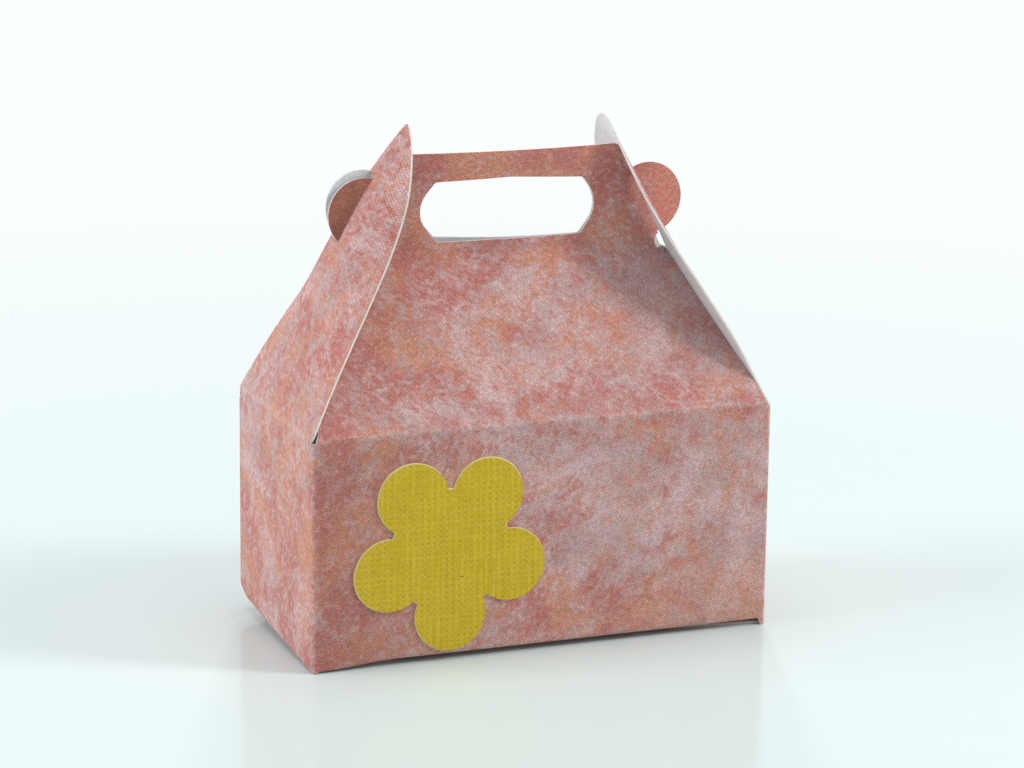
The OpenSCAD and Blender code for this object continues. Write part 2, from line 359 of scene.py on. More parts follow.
# Painted shade: the inside's cool grey-white stands partly for the shade that the insides lie in.
inside = white_finish("white_card_finish", (0.78, 0.80, 0.82), (0.69, 0.71, 0.74), fibre=0.3, depth=0.02)
cut = white_finish("cut_edge_finish", (0.84, 0.80, 0.77), (0.70, 0.62, 0.58), fibre=0.12, depth=0.03)
print("white card:", len(inside.node_tree.nodes), "nodes; cut edge:", len(cut.node_tree.nodes), "nodes")

# %% [markdown]
# ## Thick card from a thin surface
#
# A card could be a plane with a Solidify modifier. Here the printed face and the white face are both worked
# out, and a rim joins them along every cut, so each has its own finish.
# The rim is found by the faces themselves: an edge that is walked in only one direction is a cut.

# %% Card helpers
card_t = 0.2
sharp_from = np.radians(40)


def grid_faces(shape, keep=None):
    """Quads of a grid whose point (i, j) has the number i * columns + j; keep leaves some of them out."""
    number = np.arange(shape[0] * shape[1]).reshape(shape)
    quads = np.stack([number[:-1, :-1], number[:-1, 1:], number[1:, 1:], number[1:, :-1]], axis=-1)
    return quads.reshape(-1, 4) if keep is None else quads[keep]


def card_piece(name, outer, inner, faces, blank, finishes=(printed, inside, cut)):
    """Printed face, white face turned round, and a rim quad (b, a, a', b') for each cut edge from a to b."""
    used, flat = np.unique(faces, return_inverse=True)
    faces, count = flat.reshape(faces.shape), len(used)
    outer, inner, blank = outer.reshape(-1, 3)[used], inner.reshape(-1, 3)[used], blank.reshape(-1, 2)[used]
    edges = np.stack([faces, np.roll(faces, -1, axis=1)], axis=-1).reshape(-1, 2)
    a, b = edges[~np.isin(edges @ [count, 1], edges @ [1, count])].T
    rim = np.stack([b, a, a + count, b + count], axis=1)
    mesh = bpy.data.meshes.new(name)
    mesh.from_pydata((np.concatenate([outer, inner]) * MM).tolist(), [],
                     faces.tolist() + (faces[:, ::-1] + count).tolist() + rim.tolist())
    which = np.repeat([0, 1, 2], [len(faces), len(faces), len(rim)])
    mesh.polygons.foreach_set("material_index", which)
    mesh.polygons.foreach_set("use_smooth", np.ones(len(mesh.polygons), bool))
    mesh.set_sharp_from_angle(angle=sharp_from)
    places = np.pad(np.concatenate([blank, blank]), ((0, 0), (0, 1))).astype(np.float32)
    mesh.attributes.new("blank", "FLOAT_VECTOR", "POINT").data.foreach_set("vector", places.ravel())
    for finish in finishes:
        mesh.materials.append(finish)
    piece = bpy.data.objects.new(name, mesh)
    bpy.context.scene.collection.objects.link(piece)
    print(f"{name}: {len(mesh.vertices)} points, {len(faces)} printed faces, {len(rim)} along the cuts")
    return piece


def belongs(piece, body, node):
    """The piece moves with the body, and the CAD node that it stands for is hidden."""
    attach(piece, body)
    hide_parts(node)


def smooth(low, high, x):
    """Smooth step from 0 at low to 1 at high: 3 t t - 2 t t t."""
    t = np.clip((x - low) / (high - low), 0, 1)
    return t * t * (3 - 2 * t)


print("card", card_t, "mm thick; a grid of 3 by 4 points has", len(grid_faces((3, 4))), "faces")

# %% [markdown]
# ## The wall band
#
# Four walls go round the box in one band, and the back wall ends in a tab that is glued inside the left end
# wall. Four plates could be set edge to edge, but one path carried upwards keeps the sheet whole. The path
# goes along the left end, the front, the right end and the back, with a small rounded fold at each corner,
# and its lower and upper edges are set point by point. The lower front fold hangs a little above the table,
# and the back left corner has been pushed up in folding, as on the real box.

# %% Path round the walls
tab_w, seam_over = 6.0, 0.15
tab_x = -half_w + card_t + fold_r


def line(p, q, points):
    """Points from p to q, both among them."""
    return np.linspace(p, q, points)


def arc(centre, radius, start, stop, points):
    """Points on a circle from one angle to another, in degrees."""
    a = np.radians(np.linspace(start, stop, points))
    return np.column_stack([centre[0] + radius * np.cos(a), centre[1] + radius * np.sin(a)])


def upright_fold(x, y, start):
    """A quarter circle about (x, y), without its two ends, which belong to the walls."""
    return arc((x, y), fold_r, start, start + 90, 8)[1:-1]


stretches = {
    "left_end": line((-half_w, near_d + seam_over), (-half_w, -near_d), 48),
    "front_left": upright_fold(-near_w, -near_d, 180),
    "front": line((-near_w, -half_d), (near_w, -half_d), 99),
    "front_right": upright_fold(near_w, -near_d, 270),
    "right_end": line((half_w, -near_d), (half_w, near_d), 48),
    "back_right": upright_fold(near_w, near_d, 0),
    "back": line((near_w, half_d), (tab_x, half_d), 98),
    "tab_fold": upright_fold(tab_x, near_d, 90),
    "tab": line((tab_x - fold_r, near_d), (tab_x - fold_r, half_d - card_t - tab_w), 14)}
side = np.repeat(list(stretches), [len(stretch) for stretch in stretches.values()])
path = np.concatenate(list(stretches.values()))
ahead = np.gradient(path, axis=0)
normal = np.column_stack([ahead[:, 1], -ahead[:, 0]]) / np.linalg.norm(ahead, axis=1, keepdims=True)
facing = {"left_end": (-1, 0), "front": (0, -1), "right_end": (1, 0), "back": (0, 1), "tab": (-1, 0)}
for name, way in facing.items():
    normal[side == name] = way
along = np.cumsum(np.linalg.norm(np.diff(path, axis=0, prepend=path[:1]), axis=1))
along -= along[side == "front"].mean()
print("once round the walls:", round(float(along[-1] - along[0]), 1), "mm in", len(path), "points")

# %% Wall band
joint_at = {joint["name"]: in_mm(joint["pos_m"]) for joint in frame["joints"]}
hinge_x, _, hinge_z = joint_at["right_flap_fold"]
face = round(half_w - hinge_x, 2)
wall_h = round(hinge_z + face, 2)
back_z, front_z, front_low_half = 0.3, 0.6, 24.35
panel_drop, flap_drop = 0.35, 1.05
panel_start, flap_start = round(wall_h - panel_drop, 2), round(wall_h - flap_drop, 2)
lift_most, lift_from, lift_span = 1.7, 3, 22
lift_corner, corner_x, corner_y = 0.6, (-21, -24.3), (9.5, 11.8)
sag_most, sag_x, sag_y = 0.55, (-16, -24.2), (-10.6, -11.6)
tab_lift, tab_rise, tab_fall, tab_slant = 0.4, 1.6, 2.0, 2.0


def bottom_lift(x, y):
    """Push-up of the bottom: powers of the way left and the way back, multiplied, and more at the corner."""
    leftward, backward = np.clip((-x - lift_from) / lift_span, 0, 1), np.clip((y + half_d) / box_d, 0, 1.05)
    at_corner = smooth(*corner_y, y) * smooth(*corner_x, x)
    return lift_most * leftward ** 1.5 * backward ** 1.2 + lift_corner * at_corner


def front_sag(x, y):
    """How far the front fold comes down at the left, where it meets the table: two smooth steps."""
    return sag_most * smooth(*sag_x, x) * smooth(*sag_y, y)


x, y = path.T
ends, tab = np.isin(side, ["left_end", "right_end"]), side == "tab"
front_fold = (side == "front") & (abs(x) < front_low_half)
back_fold = (side == "back") & (x < front_low_half) | (side == "tab_fold")
tab_in = np.clip((near_d - y) / tab_slant, 0, 1)
low = np.select([ends, front_fold, back_fold, tab],
                [fold_r, front_z + fold_r, back_z + fold_r, front_z + tab_lift + tab_rise * tab_in], 0.0)
low = low + bottom_lift(x, y) - front_fold * front_sag(x, y)
high = np.select([ends, tab], [flap_start, panel_start - tab_fall * tab_in], panel_start)

height = low + np.linspace(0, 1, 40)[:, None] * (high - low)
outer = np.stack([x + 0 * height, y + 0 * height, height], axis=-1)
inner = outer - card_t * np.pad(normal, ((0, 0), (0, 1)))
blank = np.stack([along + 0 * height, height], axis=-1)
wall_band = card_piece("wall_band", outer, inner, grid_faces(height.shape), blank)
belongs(wall_band, "box", "box_sheet")

# %% [markdown]
# ## The bottom flaps
#
# Under the box, two short flaps fold in from the ends, then the long back flap and the long front flap lie on
# them. A flat plate under the walls would do from outside, but not when the box stands open. Each flap is one
# strip: a quarter turn under the wall, then flat, and a little narrower at its free end. The strip's two
# parameters are the way across and the way in, and the push-up of the corner is simply added to the height.

# %% Bottom flaps
long_flap, short_flap, narrowing = 18.0, 10.0, 1.5
back_low_half, end_low_half = 23.8, 11.4
end_u, back_u = along[side == "right_end"].mean(), along[side == "back"].mean()


def bottom_flap(name, half, reach, length, z, turn, centre_u):
    """Strip from a wall at distance reach: s runs down a quarter circle, then in along the floor."""
    s = np.concatenate([np.linspace(0, quarter, 7), np.linspace(quarter, quarter + length - fold_r, 30)[1:]])
    bend, inward = np.clip(s / fold_r, 0, np.pi / 2), np.clip(s - quarter, 0, None)
    across = np.linspace(-1, 1, 90) * (half - narrowing * s / s[-1])[:, None]

    def layer(radius):
        """One face of the strip, at a distance radius from the middle of the fold."""
        depth = (fold_r - radius * np.cos(bend) + inward - reach)[:, None]
        level = (z + fold_r - radius * np.sin(bend))[:, None]
        x = across * np.cos(turn) - depth * np.sin(turn)
        y = across * np.sin(turn) + depth * np.cos(turn)
        sag = front_sag(x, y) if turn == 0 else 0
        return np.stack([x, y, level + bottom_lift(x, y) - sag], axis=-1)

    blank = np.stack([centre_u + across, fold_r - s[:, None] + 0 * across], axis=-1)
    faces = grid_faces(across.shape)[:, ::-1]
    piece = card_piece(name, layer(fold_r), layer(fold_r - card_t), faces, blank)
    belongs(piece, "box", "box_sheet")


bottom_flap("front_bottom_flap", front_low_half, half_d, long_flap, front_z, 0.0, 0.0)
bottom_flap("back_bottom_flap", back_low_half, half_d, long_flap, back_z, np.pi, back_u)
bottom_flap("right_foot_flap", end_low_half, half_w, short_flap, 0.0, np.pi / 2, end_u)
bottom_flap("left_foot_flap", end_low_half, half_w, short_flap, 0.0, -np.pi / 2, -end_u)

# %% [markdown]
# ## The roof and handle panels
#
# From the front wall the sheet slopes back as a roof, bends upright and becomes the handle, with round ears
# at its sides, a hooked notch under each ear, and a hand hole. In front view that is a cut outline; from the
# side it is one bent line. A boolean could cut it from a bent plate, with ragged edges. So the flat outline
# is made first, then filled with triangles, and then every point is carried onto the line by its height.

# %% Roof line
roof_rise, handle_y, bend_r, spare = 15.3, 0.7, 3.0, 1.0
upright = np.pi / 2
roof_top, handle_top = wall_h + roof_rise, sheet_high[2]
slope = np.arctan2(roof_rise, half_d - handle_y)
lean_in = upright - slope
cut_low, cut_high = fold_r * np.tan(lean_in / 2), bend_r * np.tan(lean_in / 2)
roof_len = np.hypot(roof_rise, half_d - handle_y)
lengths = [wall_h - cut_low - panel_start, fold_r * lean_in, roof_len - cut_low - cut_high, bend_r * lean_in,
           handle_top - roof_top - cut_high + spare]
marks = np.concatenate([[0], np.cumsum(lengths)])
sheet_s = np.linspace(0, marks[-1], 6001)
sheet_mid = (sheet_s[1:] + sheet_s[:-1]) / 2
angle = np.interp(sheet_mid, marks, [upright, upright, slope, slope, upright, upright])
sheet_y = -half_d + np.append(0, np.cumsum(np.cos(angle) * np.diff(sheet_s)))
sheet_z = panel_start + np.append(0, np.cumsum(np.sin(angle) * np.diff(sheet_s)))
print("roof slope:", round(float(np.degrees(slope)), 1), "degrees")
print("handle face at y =", round(float(sheet_y[-1]), 2))

# %% Slanted edge
lean, edge_room = np.radians(26.0), 0.02
flap_inner = round(card_t - face, 2)
curl_depth, curl_start, curl_span = 0.17, 1.0, 14.5
relief_w, relief_from, relief_to = 0.2, 0.6, 2.4


def edge_x(z):
    """Cut edge of the panel: in by the lean, the flap's card and curl, some room, and a relief cut."""
    curled = curl_depth * np.sin(np.pi * np.clip((z - wall_h - curl_start) / curl_span, 0, 1))
    relief = relief_w * (1 - smooth(wall_h + relief_from, wall_h + relief_to, z))
    return hinge_x - (z - hinge_z) * np.tan(lean) - (flap_inner + curled) / np.cos(lean) - edge_room - relief


def across_edge(centre, radius):
    """Where a circle crosses the slanted edge: the foot of its centre, and half a chord down and up."""
    out, up = np.array([np.cos(lean), np.sin(lean)]), np.array([-np.sin(lean), np.cos(lean)])
    gap = (centre[0] - edge_x(centre[1])) * np.cos(lean)
    foot, half = centre - gap * out, np.sqrt(radius ** 2 - gap ** 2)
    return foot - half * up, foot + half * up


def angle_of(point, centre):
    """Direction from the centre to the point, in degrees."""
    return np.degrees(np.arctan2(*(point - centre)[::-1]))


print("the panel is", round(float(2 * edge_x(wall_h)), 2), "mm wide at its fold")

# %% Panel outline
ear_r, ear_z, ear_out = 3.75, roof_top + 4.6, 0.5
notch_r, notch_out = 1.0, 0.1
corner_r, turned = 0.8, upright - lean
bend_from, bend_to, roof_end, slant_end = 23.83, 24.15, 38.2, handle_top - 1.2

ear_along = (ear_z - hinge_z - ear_out * np.sin(lean)) / np.cos(lean)
ear = np.array([hinge_x - ear_along * np.sin(lean) + ear_out * np.cos(lean), ear_z])
notch_z = ear_z - ear_r - 0.9 * notch_r
notch = np.array([edge_x(notch_z) + notch_out, notch_z])
ear_low, ear_high = across_edge(ear, ear_r)
notch_low, notch_high = across_edge(notch, notch_r)
corner = np.array([edge_x(handle_top) - corner_r * np.tan(turned / 2), handle_top - corner_r])
bend_rows = np.concatenate([np.linspace(panel_start, bend_from, 3)[:-1], np.linspace(bend_from, bend_to, 7)])
roof_rows = np.concatenate([bend_rows, np.linspace(bend_to, roof_end, 29)[1:]])
right_side = np.concatenate([
    np.column_stack([np.where(roof_rows < wall_h, edge_x(wall_h), edge_x(roof_rows)), roof_rows]),
    arc(notch, notch_r, angle_of(notch_low, notch) % 360, angle_of(notch_high, notch) % 360, 12),
    arc(ear, ear_r, angle_of(ear_low, ear), angle_of(ear_high, ear), 46),
    line(ear_high, (edge_x(slant_end), slant_end), 8)[1:],
    arc(corner, corner_r, np.degrees(lean), 90, 8)])
top_edge = line((corner[0], handle_top), (-corner[0], handle_top), 44)[1:-1]
low_edge = line((-edge_x(wall_h), panel_start), (edge_x(wall_h), panel_start), 97)[1:-1]
panel_cut = np.concatenate([low_edge, right_side, top_edge, right_side[::-1] * [-1, 1]])
print("panel outline:", len(panel_cut), "points, ear at", ear.round(2))

# %% Hand hole
hole_z = roof_top + 1.4
hole_corners = np.array([
    [7.8, 0.0], [10.1, 3.1], [8.1, 5.9], [0.0, 6.4], [-8.1, 6.15], [-10.6, 3.1], [-8.0, 0.0]])
hole_rounds = [0.5, 3.0, 0.5, 3.0, 0.5, 3.0, 0.5]


def round_corner(before, p, after, radius, points=7):
    """Arc that touches both sides of the corner at p."""
    a, b = (before - p) / np.linalg.norm(before - p), (after - p) / np.linalg.norm(after - p)
    half = np.arccos(a @ b) / 2
    centre = p + (a + b) / np.linalg.norm(a + b) * radius / np.sin(half)
    touch = radius / np.tan(half)
    first, last = angle_of(p + a * touch, centre), angle_of(p + b * touch, centre)
    return arc(centre, radius, first, first + (last - first + 180) % 360 - 180, points)


hole = hole_corners + [0.0, hole_z]
neighbours = zip(np.roll(hole, 1, axis=0), hole, np.roll(hole, -1, axis=0), hole_rounds)
hole_arcs = np.concatenate([round_corner(*corner_and_radius) for corner_and_radius in neighbours])
closed = np.append(hole_arcs, hole_arcs[:1], axis=0)
there = np.append(0, np.cumsum(np.linalg.norm(np.diff(closed, axis=0), axis=1)))
spread = np.union1d(there, np.linspace(0, there[-1], 120))[:-1]
hole_cut = np.column_stack([np.interp(spread, there, values) for values in closed.T])
print("hand hole:", len(hole_cut), "points round", round(float(there[-1]), 1), "mm")

# %% [markdown]
# ### Filling a cut shape
#
# A cut shape with a hole in it can't be one grid. A constrained triangulation, which mathutils has, keeps the
# outline and the hole as fixed edges. Rows of points inside it, closer where the card bends, let the filled
# shape follow the roof line.

# %% Fill the cut shape
clear, hull_triangles, merge_at = 0.2, 0, 1e-5


def within(points, loop):
    """Even-odd rule: a point is inside when a line to its right crosses the loop an odd number of times."""
    (ax, ay), (bx, by) = loop.T, np.roll(loop, -1, axis=0).T
    px, py = points[:, :1], points[:, 1:]
    spans = (ay > py) != (by > py)
    crossing = ax + (py - ay) * (bx - ax) / np.where(by == ay, 1, by - ay)
    return (spans & (px < crossing)).sum(axis=1) % 2 == 1


def clear_of(points, loop, gap):
    """True for points that are further than gap from every point of the loop."""
    return np.min(np.linalg.norm(points[:, None] - loop[None], axis=2), axis=1) > gap


def ring(first, count):
    """Edges that join a loop's points in turn and close it; the loop starts at the point numbered first."""
    here = np.arange(count)
    return first + np.column_stack([here, np.roll(here, -1)])


def fill_cut(loops, rows, columns):
    """Triangles of a cut shape: its outline and holes as fixed edges, with a grid of points inside them."""
    grid = np.stack(np.meshgrid(columns, rows), axis=-1).reshape(-1, 2)
    for i, loop in enumerate(loops):
        grid = grid[(within(grid, loop) == (i == 0)) & clear_of(grid, loop, clear)]
    starts = np.cumsum([0] + [len(loop) for loop in loops])
    rings = np.concatenate([ring(first, len(loop)) for first, loop in zip(starts, loops)])
    points = [Vector(p) for p in np.concatenate([*loops, grid]).tolist()]
    found = delaunay_2d_cdt(points, rings.tolist(), [], hull_triangles, merge_at)
    flat, triangles = np.array([tuple(p) for p in found[0]]), np.array(found[2])
    middle = flat[triangles].mean(axis=1)
    kept = np.all([within(middle, loop) == (i == 0) for i, loop in enumerate(loops)], axis=0)
    triangles = triangles[kept]
    (ux, uy), (vx, vy) = (flat[triangles[:, 1:]] - flat[triangles[:, :1]]).transpose(1, 2, 0)
    return flat, np.where((ux * vy < uy * vx)[:, None], triangles[:, ::-1], triangles)


fill_rows = np.concatenate([roof_rows[1:], np.linspace(roof_end, handle_top, 27)[1:-1]])
flat, triangles = fill_cut([panel_cut, hole_cut], fill_rows, np.arange(-24, 24.01, 0.5))
print("panel fill:", len(flat), "points,", len(triangles), "triangles")

# %% Bend the panels
bow_z, bow_back, bow_forward, bow_half = (33, 43), 0.25, 0.95, 11.6
follow_least, follow_most, follow_at, follow_half = 0.55, 0.75, 2, 12
left_less, left_x = 0.35, (0, -14)
high_most, high_x, high_z = 0.72, (3, -17), (38, 41)
level_x, level_z, level_drop = (-14, -12), (46.0, 48.5), 0.3


def panel(name, bow, faces, face_to, blank_u):
    """P(x, z) = (x, roof line at z, z) plus the bow; the inner face is one card in, along the normal."""
    x, z = flat.T
    y, s = np.interp(z, sheet_z, sheet_y), np.interp(z, sheet_z, sheet_s)
    tilt = np.interp(s, sheet_mid, angle)
    dy, dz = bow(x, z)
    outer = np.column_stack([x, y + dy, z + dz])
    inner = outer + card_t * np.column_stack([0 * x, np.sin(tilt), -np.cos(tilt)])
    mirror = np.array([1, face_to, 1])
    blank = np.column_stack([blank_u + face_to * x, panel_start + s])
    piece = card_piece(name, outer * mirror, inner * mirror, faces, blank)
    belongs(piece, "box", "box_sheet")


def hump(x, middle, half):
    """1 - t squared, where t runs from -1 to 1 over the hump, and 0 outside it."""
    return np.clip(1 - ((x - middle) / half) ** 2, 0, 1)


def front_bow(x, z):
    """The handle bows forward in its middle and back at its sides: a hump that grows from the roof up."""
    return smooth(*bow_z, z) * (bow_back - bow_forward * hump(x, 0, bow_half)), 0 * x


def back_bow(x, z):
    """The back handle bows with the front one and touches it at the right; its left side sits high."""
    follow = follow_least + follow_most * hump(x, follow_at, follow_half) - left_less * smooth(*left_x, x)
    high = high_most * smooth(*high_x, x) * smooth(*high_z, z)
    levelled = smooth(*level_z, z) * smooth(*level_x, x)
    return smooth(*bow_z, z) * follow, high * (1 - levelled) - level_drop * levelled


panel("front_panel", front_bow, triangles, 1, 0.0)
panel("back_panel", back_bow, triangles[:, ::-1], -1, back_u)

# %% [markdown]
# ## The end flaps
#
# Each end wall carries on upwards as a pointed flap that leans in, curls a little at its sides and has a slot
# that the ears pass through. On the box it turns on the fold at the top of the wall. It could be filled like
# the panels, but its sides are a plain formula, so it is a grid of the height along the card and the way
# across, with two columns kept on the sides of the slot. It starts a little below the fold and is blended
# across it, so the card bends there and stays joined to the wall.

# %% Flap line
flap_len, bend_half, fine_points = 32.17, 0.41, 4001


def bend_at(s):
    """Lean of the card at s: none below the fold, growing evenly across it, and the whole lean above it."""
    return np.clip((s + bend_half) / (2 * bend_half), 0, 1) * lean


fine = np.linspace(flap_start - hinge_z, flap_len, fine_points)
span = np.append(0, np.diff(fine))
line_x = hinge_x - np.cumsum(np.sin(bend_at(fine)) * span)
line_z = flap_start + np.cumsum(np.cos(bend_at(fine)) * span)
print("flap line: from", round(float(line_z[0]), 2), "to", round(float(line_z[-1]), 2), "mm up")

# %% Flap shape
nose_len, nose_round, base_w, shoulder_w, bulge = 7.1, 0.9, 23.8, 10.4, 2.0
shoulder = flap_len - nose_len
root_in, root_end, root_start, set_back_end, least_half = 0.4, 0.5, -0.2, 9.0, 0.01
slot_q, narrow_from = 0.2, 4.0


def flap_half(s, power, shy):
    """Half width: sides with a slight bulge up to the shoulder, then a nose of (1 - v) to a power.

    Below the fold it is a little narrower, and shy sets its corners back just above the fold."""
    u, v = np.clip(s / shoulder, 0, 1), np.clip((s - shoulder) / nose_len, 0, 1)
    sides = (base_w * (1 - u) + shoulder_w * u) / 2 + bulge * u * (1 - u)
    wide = np.where(s <= shoulder, sides, shoulder_w / 2 * (1 - v) ** power)
    above = smooth(root_start, root_end, s)
    set_back = shy * above * (1 - smooth(root_end, set_back_end, s))
    return np.maximum(wide, least_half) - root_in * (1 - above) - set_back


def flap_rows(slot_low, slot_high):
    """Heights along the card: closer at the fold and the tip, with one at each end of the slot."""
    tip_start = flap_len - nose_round
    tip = flap_len - nose_round * (1 - np.sin(np.linspace(0, np.pi / 2, 8)))
    lower = [np.linspace(flap_start - hinge_z, root_end, 12), np.linspace(root_end, slot_low, 36)]
    upper = [np.linspace(slot_low, slot_high, 17), np.linspace(slot_high, tip_start, 14), tip]
    return np.unique(np.concatenate(lower + upper))[:, None]


def flap_across(half, slot_half):
    """Places across, for columns q from -1 to 1: the slot takes -slot_q to slot_q, and the card the rest."""
    beside = 1 - slot_q
    slot = slot_half * np.minimum(1, half / narrow_from)
    left = -half + (half - slot) * (q + 1) / beside
    right = slot + (half - slot) * (q - slot_q) / beside
    return np.where(q < -slot_q, left, np.where(q > slot_q, right, slot * q / slot_q))


q = np.concatenate([np.linspace(-1, -slot_q, 18), np.linspace(-slot_q, slot_q, 7)[1:],
                    np.linspace(slot_q, 1, 18)[1:]])
print("a flap has", len(q), "columns, and is", 2 * flap_half(shoulder, 1, 0), "mm wide at its shoulder")

# %% End flaps
blend_half, tiny = 0.55, 1e-6
curl_power, pull_power, sway_s = 1.9, 1.3, (21, 30)


def end_flap(name, hand, nose, bends, slot, node, centre_u):
    """P(s, v, n) = s up the leaning card, with n - curl(s) v v + pull(s) (1 - v v) along its normal."""
    (power, sway, shy), (most, pull), (slot_low, slot_high, slot_half) = nose, bends, slot
    s = flap_rows(slot_low, slot_high)
    half = flap_half(s, power, shy)
    y = flap_across(half, slot_half)
    up, edge = np.clip(s / flap_len, 0, 1), (y / half) ** 2
    curl = most * np.sin(np.pi * up ** curl_power) * edge
    curl = curl - pull * np.sin(np.pi * up ** pull_power) * (1 - edge)
    y = y + sway * smooth(*sway_s, s)

    def layer(n):
        """One face of the card, n outside the flap's line."""
        x = np.interp(s, fine, line_x) + (n - curl) * np.cos(bend_at(s))
        z = np.interp(s, fine, line_z) + (n - curl) * np.sin(bend_at(s))
        return np.stack([hand * x, y, z], axis=-1)

    in_rows = (s[:-1] > slot_low - tiny) & (s[1:] < slot_high + tiny)
    in_columns = (q[:-1] > -slot_q - tiny) & (q[1:] < slot_q + tiny)
    faces = grid_faces(y.shape, ~(in_rows & in_columns))
    blank = np.stack([centre_u + hand * y, hinge_z + s + 0 * y], axis=-1)
    piece = card_piece(name, layer(face), layer(face - card_t), faces if hand > 0 else faces[:, ::-1], blank)
    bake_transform(piece)
    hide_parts(node)


end_flap("left_flap_card", -1, nose=(0.65, 0.0, 0.0), bends=(1.5, 1.8), slot=(18.5, 26.0, 0.85),
         node="left_end_flap", centre_u=-end_u)
end_flap("right_flap_card", 1, nose=(0.5, 0.7, 1.0), bends=(1.35, 0.0), slot=(16.4, 25.2, 1.1),
         node="right_end_flap", centre_u=end_u)

# %% [markdown]
# ## The flower
#
# The flower is punched from yellow linen card and glued flat to the front. Five discs could be joined with a
# boolean; as a polar formula the rim is simpler: in each direction it is as far out as the furthest disc
# reaches. The rim is then filled as the panels were. The linen is pressed into the card as fine crossed
# threads, so it is a bump and a slight change of tone, not geometry, with painted shade in the hollows of the
# weave and painted highlights on its knots.

# %% Flower finish
warp_gap, weft_gap, yarn_gap = 0.66, 0.58, 0.27
mustard, bright_mustard, sunlit = (0.585, 0.398, 0.0155), (0.615, 0.424, 0.021), (0.81, 0.61, 0.06)
# The pale knot colour is a painted highlight and the dark pit colour is painted shade of the weave; the mark
# is a real fleck.
knot_highlight, weave_shade, dark_mark = (0.86, 0.66, 0.10), (0.36, 0.25, 0.012), (0.12, 0.08, 0.01)
mark_x, mark_z = -9.25, 8.75


def flower_finish():
    """Mustard card: sine waves across and up are the weave, stronger in some streaks, with a finer yarn."""
    finish, wire = new_finish("flower_card_finish")
    place = wire.node("ShaderNodeTexCoord", out="Object")
    x = wire.node("ShaderNodeSeparateXYZ", {}, {0: place})
    z = x.other(2)
    wander = wire.noise(place, 1.6 * MM) * (0.3 * MM)
    warp = wire.math("SINE", (x + wander) * (2 * np.pi / (warp_gap * MM)))
    weft = wire.math("SINE", (z + wander) * (2 * np.pi / (weft_gap * MM)))
    yarn = wire.math("SINE", (x + wander) * (2 * np.pi / (yarn_gap * MM)))
    down = wire.noise(place, 0.45 * MM, stretch=(1.0, 1.0, 12.0))
    over = wire.noise(place, 0.45 * MM, stretch=(12.0, 1.0, 1.0))
    thread = warp * down.ramp(0.3, 0.65) + weft * over.ramp(0.3, 0.65) * 0.85 + yarn * 0.3
    pits = (warp * weft).ramp(0.1, 0.9) * wire.noise(place, 0.9 * MM).ramp(0.38, 0.6)
    knots = (-(warp * weft)).ramp(0.1, 0.9) * wire.noise(place, 0.8 * MM, shift=0.02).ramp(0.4, 0.6)
    streaks = (down * 0.8 + over * 0.4 + wire.noise(place, 0.3 * MM) * 0.9 - 0.75).ramp(0.0, 0.6)

    base = wire.mix(wire.noise(place, 3.0 * MM, detail=4.0).ramp(0.3, 0.7), mustard, bright_mustard)
    # Painted highlight: the knots of the weave are lifted towards a pale yellow.
    streaky = wire.mix(knots * 0.22, wire.mix(streaks * 0.5, base, sunlit), knot_highlight)
    # Painted shade: the pits and the low places between the threads are darkened.
    colour = wire.mix(pits * 0.24 + (1.0 - thread.ramp(-1.4, 1.1)) * 0.2, streaky, weave_shade)
    mark_across = 1.0 - abs(x - mark_x * MM).ramp(0.2 * MM, 0.3 * MM)
    mark_up = 1.0 - abs(z - mark_z * MM).ramp(0.03 * MM, 0.07 * MM)
    marked = wire.mix(mark_across * mark_up * 0.75, colour, dark_mark)

    bump = wire.node("ShaderNodeBump", {}, {"Strength": 0.6, "Distance": 0.035 * MM, "Height": thread - pits})
    shader = wire.node("ShaderNodeBsdfPrincipled", {}, {
        "Base Color": marked, "Roughness": 0.6 + down * 0.2, "Specular IOR Level": 0.3, "Normal": bump})
    wire.node("ShaderNodeOutputMaterial", {}, {"Surface": shader})
    return finish


flower_card = flower_finish()
straw, dark_straw = (0.86, 0.78, 0.50), (0.74, 0.60, 0.24)
flower_edge = white_finish("flower_edge_finish", straw, dark_straw, fibre=0.12, depth=0.03)
print("flower card:", len(flower_card.node_tree.nodes), "nodes, a thread each", warp_gap, "mm")

# %% Flower
petal_at, petal_r, core_r, petal_count, flower_drop = 6.8, 3.8, 6.4, 5, 0.4
flower_t, flower_inset, fill_step, fill_reach = 0.25, 0.1, 0.6, 10.2
flower_low, flower_high = [in_mm(corner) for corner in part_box("flower")]
flower_x = round((flower_low[0] + flower_high[0]) / 2, 2)
flower_z = round(wall_h / 2 - flower_drop, 2)


def flower_rim(phi):
    """Furthest of the core and each petal's p cos(d) + sqrt(r r - p p sin(d) sin(d)), d = phi - its angle."""
    off = phi[:, None] - np.radians(360.0 / petal_count * np.arange(petal_count) - 90.0)
    across = petal_at * np.sin(off)
    reach = petal_at * np.cos(off) + np.sqrt(np.clip(petal_r ** 2 - across ** 2, 0, None))
    met = (abs(across) < petal_r) & (np.cos(off) > 0)
    return np.maximum(core_r, np.max(np.where(met, reach, 0), axis=1))


